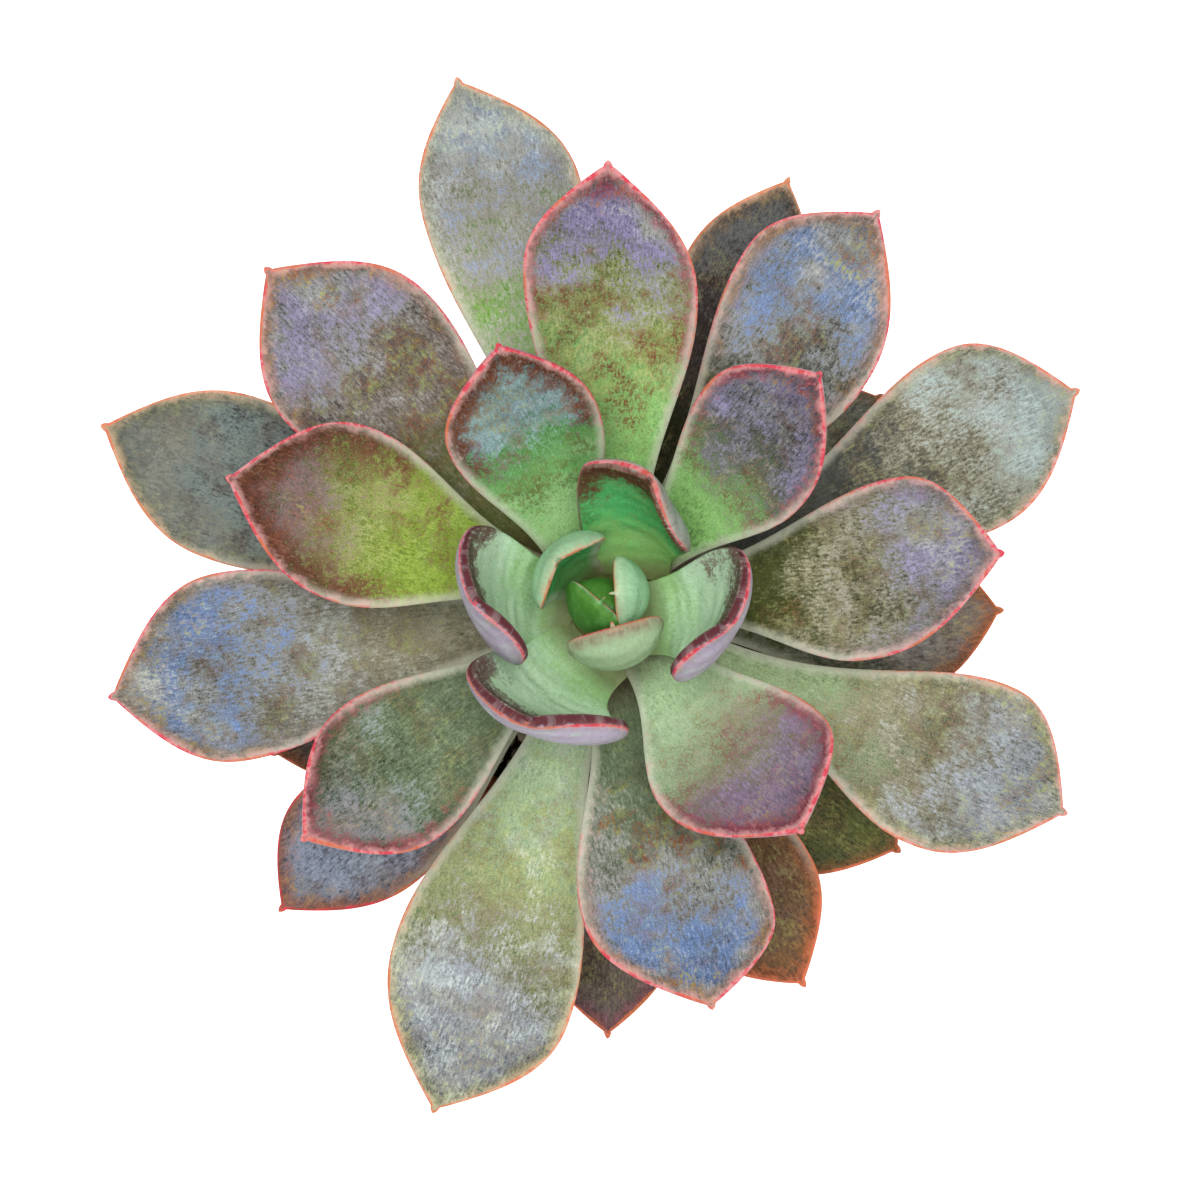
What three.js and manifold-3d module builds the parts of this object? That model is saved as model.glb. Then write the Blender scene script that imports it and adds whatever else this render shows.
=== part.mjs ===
// A rosette echeveria in a plain clay pot: broad, pointed, fleshy leaves stand on a short stem that
// stands in the soil. Millimetres, +Z up. The pot's axis is the Z axis and its underside is Z = 0.
// Looking down, +X is right and +Y is up.

import * as THREE from 'three';
import { mergeVertices } from 'three/addons/utils/BufferGeometryUtils.js';
import Module from 'manifold-3d';

// Driving dimensions.
const CLEARANCE = 0.3; // between a piece and the neighbour it is cut around

const POT_HEIGHT = 64;
const POT_RIM_RADIUS = 35;
const POT_BAND_HEIGHT = 16; // the thick band below the rim
const POT_BAND_RADIUS = 34; // at the band's lower edge
const POT_NECK_RADIUS = 31; // of the body, where it meets the band
const POT_BASE_RADIUS = 22.5;
const POT_MOUTH_RADIUS = 29.5;
const POT_FLOOR_RADIUS = 18; // inside, on the floor
const POT_FLOOR = 5; // thickness of the floor
const DRAIN_RADIUS = 6;
const EDGE_ROUNDING = 2;

const SOIL_TOP = 56;
const SOIL_MOUND = 1.5; // how much higher the soil stands in the middle
const SOIL_CRUMB = 3; // rounding where the soil meets the wall

const STEM_X = 1.8; // the plant stands a little off the pot's axis
const STEM_Y = -0.5;
const STEM_FOOT = 44; // bottom of the stem and of its hole in the soil
// Stem radius at a few heights, from its foot to the growing point.
const STEM_PROFILE = [
  [0, STEM_FOOT], [5.4, STEM_FOOT], [6.4, 46], [6.6, 62], [8, 69], [8.6, 74], [8.2, 80], [7, 86],
  [5.6, 90], [4.3, 94], [3.2, 96], [2.2, 97.5], [0.9, 98.6], [0, 98.8],
];

const RINGS = 13; // cross sections along a leaf
const AROUND = 12; // points around each section
const RIB_STEPS = 24; // short straight steps that a leaf's midrib is summed from
const UPPER_SHARE = 0.22; // how much of a leaf's thickness lies above the middle of its section
const ROOT_THICKNESS = 0.62; // at the root, as a share of the leaf's thickness
const TIP_ROUNDNESS = 2.4; // how long the margin keeps its width beyond the shoulder
const TIP_SHARPNESS = 1.05; // above 1 draws the point in

// What most leaves share. Angles are degrees. rise is the leaf's slope at its root and lift at its
// point, turn and yaw swing it left, shoulder is where it is widest as a share of its length, skew
// moves that place outwards on its right and inwards on its left, side makes its right half the
// wider one, neck is its width at the root as a share of its full width, swell above 1 keeps the
// neck slim for longer, and cup is how far its margins curl up.
const LEAF = {
  thick: 4.5, start: 5, turn: 0, yaw: 0, shoulder: 0.72, skew: 0, side: 0, neck: 0.27, swell: 1.3,
  cup: 15,
};

// The leaves from the lowest and oldest to the heart. They follow one another around the stem by
// about 137 degrees. around is the compass place of the root, from +X, and up is its height.
const LEAVES = [
  { around: 318, up: 72, long: 46.5, wide: 22, rise: 2, lift: 2, turn: 5, side: 0.08, tint: '#4d5138' },
  { around: 204, up: 72.6, long: 44.5, wide: 18, rise: 2, lift: 2, tint: '#5a4a3c' },
  { around: 41, up: 73.2, long: 41.5, wide: 15, rise: 2, lift: 4, turn: -10, tint: '#4b4b35' },
  { around: 270, up: 73.8, long: 53, wide: 19, rise: 3, lift: 4, tint: '#5c5549' },
  { around: 356, up: 74.6, long: 48, wide: 21, rise: 4, lift: 6, turn: 9, tint: '#77735f' },
  { around: 223, up: 75.4, long: 55, wide: 19.5, rise: 4, lift: 8, skew: 0.04, tint: '#6a6a5b' },
  { around: 67, up: 76.2, long: 57, wide: 17.5, rise: 5, lift: 10, tint: '#5f6352' },
  { around: 293, up: 77, long: 52.5, wide: 20, rise: 6, lift: 10, turn: 12, tint: '#6b5443' },
  { around: 160.5, up: 77.8, long: 66.5, wide: 22.5, rise: 5, lift: 11, side: -0.07, tint: '#66695a' },
  { around: 24.5, up: 78.6, long: 64, wide: 24.5, rise: 7, lift: 13, shoulder: 0.76, skew: -0.03,
    neck: 0.15, swell: 1.6, tint: '#878d75' },
  { around: 251, up: 79.4, long: 66.5, wide: 25.5, rise: 7, lift: 15, skew: -0.03, side: -0.03,
    tint: '#8c9780' },
  { around: 106, up: 80.2, long: 68, wide: 21.5, rise: 9, lift: 15, shoulder: 0.75, side: 0.12,
    tint: '#848e7d' },
  { around: 335.5, up: 81, long: 62.5, wide: 24.5, rise: 11, lift: 17, shoulder: 0.76, skew: -0.04,
    neck: 0.15, swell: 1.6, tint: '#80866f' },
  { around: 190.5, up: 81.8, long: 63, wide: 25, rise: 13, lift: 17, shoulder: 0.74, side: 0.08,
    tint: '#7b8078' },
  { around: 55.5, up: 82.6, long: 60, wide: 23, rise: 18, lift: 20, skew: -0.06, neck: 0.2,
    tint: '#7f8680' },
  { around: 135.5, up: 83.4, long: 60.5, wide: 25, rise: 20, lift: 20, tint: '#7d7c72' },
  { around: 284.5, up: 84.2, long: 53.5, wide: 24.5, rise: 24, lift: 26, shoulder: 0.75, skew: -0.05,
    side: 0.1, neck: 0.38, tint: '#7b8380' },
  { around: 161.5, up: 85, long: 52.5, wide: 23, rise: 29, lift: 27, shoulder: 0.67, skew: 0.03,
    side: 0.05, tint: '#848a58' },
  { around: 7.5, up: 85.8, long: 52, wide: 23, rise: 29, lift: 27, shoulder: 0.69, skew: -0.08,
    tint: '#7c8a69' },
  { around: 217.5, up: 86.6, long: 51, wide: 21, rise: 31, lift: 29, shoulder: 0.7, tint: '#7f8663' },
  { around: 90, up: 87.4, long: 58.5, wide: 22.5, rise: 31, lift: 27, skew: -0.04, side: 0.03,
    neck: 0.42, tint: '#7f8a6c' },
  { around: 310.5, up: 88.2, long: 42, wide: 23.5, rise: 41, lift: 35, shoulder: 0.7, skew: -0.07,
    neck: 0.33, tint: '#8a9579' },
  { around: 47.5, up: 89, long: 46, wide: 19.5, rise: 44, lift: 38, shoulder: 0.69, skew: -0.06,
    neck: 0.3, tint: '#83937a' },
  { around: 114, up: 89.8, long: 41.5, wide: 20, rise: 46, lift: 38, turn: -3, shoulder: 0.69,
    skew: -0.03, side: -0.1, neck: 0.42, tint: '#8fa67b' },
  { around: 250, up: 90.8, long: 33.8, wide: 22.8, rise: 34, lift: 100, turn: 40, yaw: -28,
    side: -0.12, neck: 0.5, cup: 38, thick: 3.4, tint: '#9fb595' },
  { around: 192, up: 91.6, long: 33.2, wide: 19, rise: 36, lift: 100, turn: 62, yaw: -30,
    neck: 0.5, cup: 38, thick: 3.2, start: 4.5, tint: '#9bb593' },
  { around: 330, up: 92.4, long: 30.8, wide: 19, rise: 36, lift: 100, turn: -60, yaw: 40,
    neck: 0.5, cup: 38, thick: 3.2, start: 4.2, tint: '#9db994' },
  { around: 60, up: 93.2, long: 27.6, wide: 17.6, rise: 40, lift: 82, turn: -52, yaw: 30,
    skew: -0.1, side: 0.08, neck: 0.65, cup: 48, thick: 3, start: 4, tint: '#7fae79' },
  { around: 138, up: 94.2, long: 19, wide: 13.8, rise: 44, lift: 106, neck: 0.5, cup: 52, thick: 2.6,
    start: 3.5, tint: '#8dbd8b' },
  { around: 283, up: 95, long: 20.5, wide: 13.8, rise: 46, lift: 142, yaw: 3, neck: 0.5, cup: 45,
    thick: 2.4, start: 3.4, tint: '#a3b896' },
  { around: 34, up: 96, long: 15, wide: 10, rise: 55, lift: 145, yaw: -30, neck: 0.5, cup: 45,
    thick: 1.8, start: 2.9, tint: '#8fb383' },
  { around: 205, up: 96.8, long: 13.5, wide: 10, rise: 55, lift: 150, yaw: 25, neck: 0.5, cup: 45,
    thick: 1.6, start: 2.2, tint: '#6f9a62' },
  { around: 100, up: 97.4, long: 11, wide: 8, rise: 60, lift: 150, yaw: -35, neck: 0.5, cup: 45,
    thick: 1.3, start: 1.6, tint: '#6b9358' },
];

const wasm = await Module();
wasm.setup();

const radians = THREE.MathUtils.degToRad;

// A closed geometry as a solid that can be cut.
function solidOf(geometry) {
  const bare = geometry.clone();
  bare.deleteAttribute('normal');
  bare.deleteAttribute('uv');
  const merged = mergeVertices(bare, 1e-4);
  const mesh = new wasm.Mesh({
    numProp: 3,
    vertProperties: new Float32Array(merged.attributes.position.array),
    triVerts: new Uint32Array(merged.index.array),
  });
  return new wasm.Manifold(mesh);
}

// A cut solid as a geometry again.
function geometryOf(solid) {
  const mesh = solid.getMesh();
  const geometry = new THREE.BufferGeometry();
  geometry.setAttribute('position', new THREE.BufferAttribute(mesh.vertProperties, 3));
  geometry.setIndex(new THREE.BufferAttribute(mesh.triVerts, 1));
  geometry.computeVertexNormals();
  return geometry;
}

// Points of a quarter round or other arc, in degrees from the outward direction.
function arc(radius, height, size, from, to, steps) {
  const points = [];
  for (let i = 0; i <= steps; i += 1) {
    const angle = radians(from + ((to - from) * i) / steps);
    points.push([radius + size * Math.cos(angle), height + size * Math.sin(angle)]);
  }
  return points;
}

// A turned solid about the Z axis from its [radius, height] points.
function turned(points, segments) {
  const profile = points.map(([radius, height]) => new THREE.Vector2(radius, height));
  return new THREE.LatheGeometry(profile, segments).rotateX(Math.PI / 2);
}

function potGeometry() {
  const r = EDGE_ROUNDING;
  const bandFoot = POT_HEIGHT - POT_BAND_HEIGHT;
  const profile = [
    [DRAIN_RADIUS, 0],
    ...arc(POT_BASE_RADIUS - r, r, r, -90, -10, 4),
    [POT_NECK_RADIUS, bandFoot - 1],
    [POT_NECK_RADIUS + 0.5, bandFoot],
    ...arc(POT_BAND_RADIUS - 1, bandFoot + 1, 1, -90, 0, 3),
    ...arc(POT_RIM_RADIUS - r, POT_HEIGHT - r, r, 0, 90, 4),
    ...arc(POT_MOUTH_RADIUS + r, POT_HEIGHT - r, r, 90, 180, 4),
    ...arc(POT_FLOOR_RADIUS - r, POT_FLOOR + r, r, 0, -90, 4),
    [DRAIN_RADIUS, POT_FLOOR],
    [DRAIN_RADIUS, 0],
  ];
  return turned(profile, 48);
}

// The pot's inner radius at a height: its wall runs straight from the floor to the mouth.
function insideRadius(height) {
  const low = POT_FLOOR + EDGE_ROUNDING;
  const share = (height - low) / (POT_HEIGHT - EDGE_ROUNDING - low);
  return POT_FLOOR_RADIUS + (POT_MOUTH_RADIUS - POT_FLOOR_RADIUS) * share;
}

function soilGeometry() {
  const low = POT_FLOOR + EDGE_ROUNDING;
  const foot = POT_FLOOR_RADIUS - EDGE_ROUNDING;
  const edge = insideRadius(SOIL_TOP) - CLEARANCE;
  const profile = [
    [0, POT_FLOOR],
    [foot - CLEARANCE, POT_FLOOR],
    [insideRadius(low) - CLEARANCE, low],
    [insideRadius(SOIL_TOP - SOIL_CRUMB) - CLEARANCE, SOIL_TOP - SOIL_CRUMB],
    [edge - 0.6 * SOIL_CRUMB, SOIL_TOP],
    [0.6 * edge, SOIL_TOP + 0.6 * SOIL_MOUND],
    [0.3 * edge, SOIL_TOP + SOIL_MOUND],
    [0, SOIL_TOP + SOIL_MOUND],
  ];
  const holeDepth = SOIL_TOP + 2 * SOIL_MOUND - STEM_FOOT;
  const holeRadius = 6.6 + CLEARANCE;
  const hole = new THREE.CylinderGeometry(holeRadius, holeRadius, holeDepth, 32);
  hole.rotateX(Math.PI / 2);
  hole.translate(STEM_X, STEM_Y, STEM_FOOT + holeDepth / 2);
  return geometryOf(solidOf(turned(profile, 48)).subtract(solidOf(hole)));
}

function stemGeometry(grow) {
  const profile = STEM_PROFILE.map(([radius, height]) => [radius > 0 ? radius + grow : 0, height]);
  profile[profile.length - 1][1] += grow;
  return turned(profile, 28);
}

// The compass direction that a leaf points in at a share of its length.
function bearing(leaf, share) {
  return radians(leaf.around + leaf.yaw + leaf.turn * share ** 1.5);
}

// The direction that it grows in there. A slope beyond 90 degrees leans back over the heart.
function heading(leaf, share) {
  const slope = radians(leaf.rise + (leaf.lift - leaf.rise) * share);
  const flat = Math.cos(slope);
  const compass = bearing(leaf, share);
  return new THREE.Vector3(flat * Math.cos(compass), flat * Math.sin(compass), Math.sin(slope));
}

// The place of the midrib at a share of the leaf's length, from the stem's axis.
function ribAt(leaf, share) {
  const root = radians(leaf.around);
  const place = new THREE.Vector3(leaf.start * Math.cos(root), leaf.start * Math.sin(root), leaf.up);
  const step = share / RIB_STEPS;
  for (let i = 0; i < RIB_STEPS; i += 1) {
    place.addScaledVector(heading(leaf, (i + 0.5) * step), step * leaf.long);
  }
  return place;
}

// Half the leaf's width as a share of its fullest: it swells from the neck to the shoulder in half
// a cosine wave, then draws in to the point.
function margin(leaf, share, shoulder) {
  if (share < shoulder) {
    const part = (share / shoulder) ** leaf.swell;
    return leaf.neck + (1 - leaf.neck) * (0.5 - 0.5 * Math.cos(Math.PI * part));
  }
  const part = (share - shoulder) / (1 - shoulder);
  return (1 - part ** TIP_ROUNDNESS) ** TIP_SHARPNESS;
}

// One cross section: points on an arc that curls the margins up, thick below it and thin above.
function section(leaf, share, grow) {
  const place = ribAt(leaf, share);
  const ahead = heading(leaf, share);
  const compass = bearing(leaf, share);
  const right = new THREE.Vector3(Math.sin(compass), -Math.cos(compass), 0);
  const above = new THREE.Vector3().crossVectors(right, ahead);
  const half = leaf.wide / 2;
  const rightHalf = half * (1 + leaf.side) * margin(leaf, share, leaf.shoulder + leaf.skew);
  const leftHalf = half * (1 - leaf.side) * margin(leaf, share, leaf.shoulder - leaf.skew);
  const fullness = ((rightHalf + leftHalf) / leaf.wide) ** 0.45;
  const belly = ROOT_THICKNESS + (1 - ROOT_THICKNESS) * Math.sin(Math.PI * Math.min(1.1 * share, 1));
  const thick = leaf.thick * belly * fullness;
  const curl = radians(leaf.cup) * THREE.MathUtils.clamp(share / 0.35, 0.2, 1);
  const points = [];
  for (let j = 0; j < AROUND; j += 1) {
    const angle = (2 * Math.PI * j) / AROUND;
    const across = Math.cos(angle);
    const out = Math.sin(angle);
    const reach = (across > 0 ? rightHalf : leftHalf) + grow;
    const bend = curl * across;
    const sideways = (reach / curl) * Math.sin(bend);
    const upward = (reach / curl) * (1 - Math.cos(bend));
    const skin = (thick * (out > 0 ? UPPER_SHARE : 1 - UPPER_SHARE) + grow) * out;
    points.push(
      place.clone()
        .addScaledVector(right, sideways - skin * Math.sin(bend))
        .addScaledVector(above, upward + skin * Math.cos(bend)),
    );
  }
  return points;
}

// A whole leaf, closed at its root, with its point as one vertex.
function leafGeometry(leaf, grow) {
  const points = [ribAt(leaf, 0)];
  for (let i = 0; i < RINGS; i += 1) {
    const share = Math.sin((i / RINGS) * (Math.PI / 2)) ** 1.1;
    points.push(...section(leaf, share, grow));
  }
  points.push(ribAt({ ...leaf, long: leaf.long + grow }, 1));
  const tip = points.length - 1;
  const faces = [];
  for (let j = 0; j < AROUND; j += 1) {
    const next = (j + 1) % AROUND;
    faces.push(0, 1 + j, 1 + next);
    for (let i = 1; i < RINGS; i += 1) {
      const low = 1 + (i - 1) * AROUND;
      const high = low + AROUND;
      faces.push(low + j, high + j, high + next);
      faces.push(low + j, high + next, low + next);
    }
    const last = 1 + (RINGS - 1) * AROUND;
    faces.push(last + j, tip, last + next);
  }
  const geometry = new THREE.BufferGeometry().setFromPoints(points);
  geometry.setIndex(faces);
  geometry.computeVertexNormals();
  return geometry;
}

function piece(name, geometry, colour, roughness) {
  const material = new THREE.MeshStandardMaterial({ color: colour, roughness, metalness: 0 });
  const mesh = new THREE.Mesh(geometry, material);
  mesh.name = name;
  return mesh;
}

const plant = new THREE.Group();
plant.name = 'plant';
plant.position.set(STEM_X, STEM_Y, 0);
plant.add(piece('stem', stemGeometry(0), '#8a8f5e', 0.7));

// Each leaf is cut clear of the stem and of every younger leaf that it meets.
const leaves = LEAVES.map((row) => ({ ...LEAF, ...row }));
const stemRoom = solidOf(stemGeometry(CLEARANCE));
const rooms = leaves.map((leaf) => solidOf(leafGeometry(leaf, CLEARANCE)));
leaves.forEach((leaf, order) => {
  let body = solidOf(leafGeometry(leaf, 0)).subtract(stemRoom);
  for (const younger of rooms.slice(order + 1)) {
    if (body.intersect(younger).volume() > 0) {
      body = body.subtract(younger);
    }
  }
  const name = `leaf_${String(order + 1).padStart(2, '0')}`;
  plant.add(piece(name, geometryOf(body), leaf.tint, 0.55));
});

const group = new THREE.Group();
group.name = 'potted_echeveria';
group.add(piece('pot', potGeometry(), '#b8694a', 0.9));
group.add(piece('soil', soilGeometry(), '#3d2d22', 0.95));
group.add(plant);

export default group;
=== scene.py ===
import math

import bpy
import numpy as np
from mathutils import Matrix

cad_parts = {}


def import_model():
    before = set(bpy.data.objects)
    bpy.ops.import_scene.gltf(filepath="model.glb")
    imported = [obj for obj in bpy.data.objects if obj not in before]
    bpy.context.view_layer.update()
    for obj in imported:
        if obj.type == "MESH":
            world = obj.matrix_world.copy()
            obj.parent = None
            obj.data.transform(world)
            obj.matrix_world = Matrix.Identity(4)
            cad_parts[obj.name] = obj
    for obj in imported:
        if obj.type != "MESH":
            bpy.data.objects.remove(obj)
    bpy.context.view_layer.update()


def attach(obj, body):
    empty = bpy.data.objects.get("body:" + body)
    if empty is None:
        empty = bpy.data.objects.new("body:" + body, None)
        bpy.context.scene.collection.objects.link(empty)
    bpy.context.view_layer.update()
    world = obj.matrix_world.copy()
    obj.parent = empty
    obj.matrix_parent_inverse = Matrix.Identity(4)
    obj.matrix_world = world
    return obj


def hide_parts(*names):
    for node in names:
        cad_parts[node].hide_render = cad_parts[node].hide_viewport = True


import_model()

# ---------------------------------------------------------------------------------------------
# Leaves. Each is a thick fleshy blade, grown from the stem at a narrow root: nearly flat above,
# round below, with a thin coloured rim and a short hard point. They stand in a spiral, the oldest
# and flattest at the bottom, the youngest curled over the heart.

MM = 0.001
STEM_X = 0.0018
STEM_Y = -0.0005
AROUND = 56  # points around a leaf's section
ALONG = 110  # sections along it
CROWDING = 1.1  # above 1 sets the sections closer at the root
TURN_POWER = 1.5  # above 1 keeps a leaf's turn for its outer part
UPPER_SHARE = 0.22  # of the thickness, above the middle of the section
ROOT_THICKNESS = 0.62
BELLY_REACH = 1.1
THINNING = 0.45  # how much the thickness follows the width
TIP_ROUNDNESS = 2.4
TIP_SHARPNESS = 1.05
CURL_FROM = 0.35  # of the length, where the margins reach their full curl
LEAST_CURL = 0.2
POINT_LENGTH = 0.0010  # of the hard point past the blade
POINT_WIDTH = 0.0014
POINT_FLARE = 0.0022
POINT_ROUNDING = 0.0009
POINT_THICKNESS = 1.2
FULL_POINT_AT = 0.022  # the leaf width that has the full point
POINT_SHRINKING = 1.3
POINT_MARGIN = 0.3  # how near the point's skin counts to the margin
BEAD_HEIGHT = 0.00012
BEAD_INSET = 0.0006  # from the margin
BEAD_SPREAD = 0.0004
BEAD_REACH = 0.004  # the half width from which the bead is whole
WAVES = 5
WAVE_SEED = 40
WAVE_DEPTH = 0.00004
WAVE_REACH = 0.006
SKIN_RELIEF = 0.00015
FAINT_GLOSS = 0.15
NOISE_STEP = 37.0  # sets each leaf's noise apart from the next one's

# The colours of the leaves, as a grower would name them.
PAINTS = {
    "mint": "#9fcba2", "spring": "#93c674", "emerald": "#4fae66", "leek": "#467c2e",
    "fern": "#659f57", "fresh": "#86b852", "lime": "#92ab45", "celery": "#a4bc8b",
    "sprout": "#a9c298", "lettuce": "#b2dc98", "pistachio": "#c4e3c0", "sage": "#8e9b76",
    "khaki": "#8e9458", "olive": "#737845", "moss": "#4e522a", "bog": "#34361a",
    "willow": "#687659", "drab": "#858169", "loam": "#574b40", "umber": "#453a34",
    "dusk": "#62635a", "graphite": "#50514b", "taupe": "#766a63", "stone": "#98958c",
    "slate": "#848580", "mist": "#979e9a", "chalk": "#b3bbb0", "cream": "#dcdcc8",
    "ash": "#6d6c75", "steel": "#5e7397", "haze": "#8390a4", "teal": "#7c9896",
    "lilac": "#776f92", "pearl": "#bdb3c6", "mauve": "#735e67", "plum": "#633c4c",
    "grape": "#5b2c31", "wine": "#782a39", "crimson": "#d4364a", "rose": "#e0aaa6",
    "coral": "#d6714f", "amber": "#c87040", "peach": "#d8b291", "russet": "#744e3d",
    "rust": "#80482a", "sienna": "#6f4731", "cocoa": "#5c3526", "bronze": "#664a2e",
}

# The leaves from the lowest to the heart, as a grower would measure them: the compass place of the
# root, the height of the root, the length and the width in metres, the slope at the root and at
# the point in degrees, and what sets the leaf apart from most.
LEAF = {
    "thick": 0.0045, "start": 0.005, "turn": 0, "yaw": 0, "shoulder": 0.72, "skew": 0, "side": 0,
    "neck": 0.27, "swell": 1.3, "cup": 15, "edge": 1.15,
}
CUPPED_FORM = {"neck": 0.5, "cup": 38, "edge": 0.6}
HEART_FORM = {"neck": 0.5, "cup": 45}
LEAVES = [
    (318, 0.0720, 0.0465, 0.0220, 2, 2, {"turn": 5, "side": 0.08}),
    (204, 0.0726, 0.0445, 0.0180, 2, 2, {}),
    (41, 0.0732, 0.0415, 0.0150, 2, 4, {"turn": -10}),
    (270, 0.0738, 0.0530, 0.0190, 3, 4, {}),
    (356, 0.0746, 0.0480, 0.0210, 4, 6, {"turn": 9}),
    (223, 0.0754, 0.0550, 0.0195, 4, 8, {"skew": 0.04}),
    (67, 0.0762, 0.0570, 0.0175, 5, 10, {}),
    (293, 0.0770, 0.0525, 0.0200, 6, 10, {"turn": 12}),
    (160.5, 0.0778, 0.0665, 0.0225, 5, 11, {"side": -0.07}),
    (24.5, 0.0786, 0.0640, 0.0245, 7, 13,
     {"shoulder": 0.76, "skew": -0.03, "neck": 0.15, "swell": 1.6}),
    (251, 0.0794, 0.0665, 0.0255, 7, 15, {"skew": -0.03, "side": -0.03}),
    (106, 0.0802, 0.0680, 0.0215, 9, 15, {"shoulder": 0.75, "side": 0.12}),
    (335.5, 0.0810, 0.0625, 0.0245, 11, 17,
     {"shoulder": 0.76, "skew": -0.04, "neck": 0.15, "swell": 1.6}),
    (190.5, 0.0818, 0.0630, 0.0250, 13, 17, {"shoulder": 0.74, "side": 0.08}),
    (55.5, 0.0826, 0.0600, 0.0230, 18, 20, {"skew": -0.06, "neck": 0.2}),
    (135.5, 0.0834, 0.0605, 0.0250, 20, 20, {}),
    (284.5, 0.0842, 0.0535, 0.0245, 24, 26,
     {"shoulder": 0.75, "skew": -0.05, "side": 0.1, "neck": 0.38}),
    (161.5, 0.0850, 0.0525, 0.0230, 29, 27, {"shoulder": 0.67, "skew": 0.03, "side": 0.05}),
    (7.5, 0.0858, 0.0520, 0.0230, 29, 27, {"shoulder": 0.69, "skew": -0.08}),
    (217.5, 0.0866, 0.0510, 0.0210, 31, 29, {"shoulder": 0.7}),
    (90, 0.0874, 0.0585, 0.0225, 31, 27, {"skew": -0.04, "side": 0.03, "neck": 0.42}),
    (310.5, 0.0882, 0.0420, 0.0235, 41, 35, {"shoulder": 0.7, "skew": -0.07, "neck": 0.33}),
    (47.5, 0.0890, 0.0460, 0.0195, 44, 38, {"shoulder": 0.69, "skew": -0.06, "neck": 0.3}),
    (114, 0.0898, 0.0415, 0.0200, 46, 38,
     {"turn": -3, "shoulder": 0.69, "skew": -0.03, "side": -0.1, "neck": 0.42}),
    (250, 0.0908, 0.0338, 0.0228, 34, 100,
     {**CUPPED_FORM, "yaw": -28, "turn": 40, "side": -0.12, "thick": 0.0034}),
    (192, 0.0916, 0.0332, 0.0190, 36, 100,
     {**CUPPED_FORM, "yaw": -30, "turn": 62, "thick": 0.0032, "start": 0.0045}),
    (330, 0.0924, 0.0308, 0.0190, 36, 100,
     {**CUPPED_FORM, "yaw": 40, "turn": -60, "thick": 0.0032, "start": 0.0042}),
    (60, 0.0932, 0.0276, 0.0176, 40, 82,
     {"yaw": 30, "turn": -52, "neck": 0.65, "skew": -0.1, "side": 0.08, "cup": 48,
      "thick": 0.0030, "start": 0.0040, "edge": 0.6}),
    (138, 0.0942, 0.0190, 0.0138, 44, 106,
     {**HEART_FORM, "cup": 52, "thick": 0.0026, "start": 0.0035}),
    (283, 0.0950, 0.0205, 0.0138, 46, 142,
     {**HEART_FORM, "yaw": 3, "thick": 0.0024, "start": 0.0034}),
    (34, 0.0960, 0.0150, 0.0100, 55, 145,
     {**HEART_FORM, "yaw": -30, "thick": 0.0018, "start": 0.0029}),
    (205, 0.0968, 0.0135, 0.0100, 55, 150,
     {**HEART_FORM, "yaw": 25, "thick": 0.0016, "start": 0.0022}),
    (100, 0.0974, 0.0110, 0.0080, 60, 150,
     {**HEART_FORM, "yaw": -35, "thick": 0.0013, "start": 0.0016}),
]

# How each leaf is coloured: near the root, in the middle, towards the point, the powdery bloom,
# the band inside the margin, the soft rim, the fine line on the edge, and the back. Then what
# differs from the usual amounts and from the usual colour of flecks. Places are shares of the
# leaf's length. Widths, and how far a crest lies down the back, are in millimetres.
COLOUR_PLACES = (
    "Root", "Middle", "Outer", "Bloom colour", "Band colour", "Rim colour", "Edge colour",
    "Back colour", "Rub colour", "Fleck colour",
)
LOOK = {
    "Middle at": 0.42, "Outer at": 0.68, "Bloom at": 0.82, "Bloom": 0.5, "Band width": 2.0,
    "Band": 0.5, "Band from": 0.55, "Tip at": 2.0, "Rim width": 0.5, "Rubbed": 0.3, "Flecks": 0.5,
    "Grain": 1.0, "Crest": 0.0,
}
RUB_COLOUR = "chalk"
FLECK_COLOUR = "bronze"
CUPPED_PAINTS = ("lettuce", "pistachio", "pistachio", "fern", "grape", "rose", "crimson", "pearl")
CUPPED_LOOK = {
    "Middle at": 0.3, "Band": 0.92, "Band from": 0.6, "Tip at": 0.73, "Flecks": 0.1, "Bloom": 0.2,
    "Rim width": 0.22, "Grain": 0.3,
}
HEART_LOOK = {"Flecks": 0.1, "Rubbed": 0.1, "Grain": 0.3}
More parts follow.
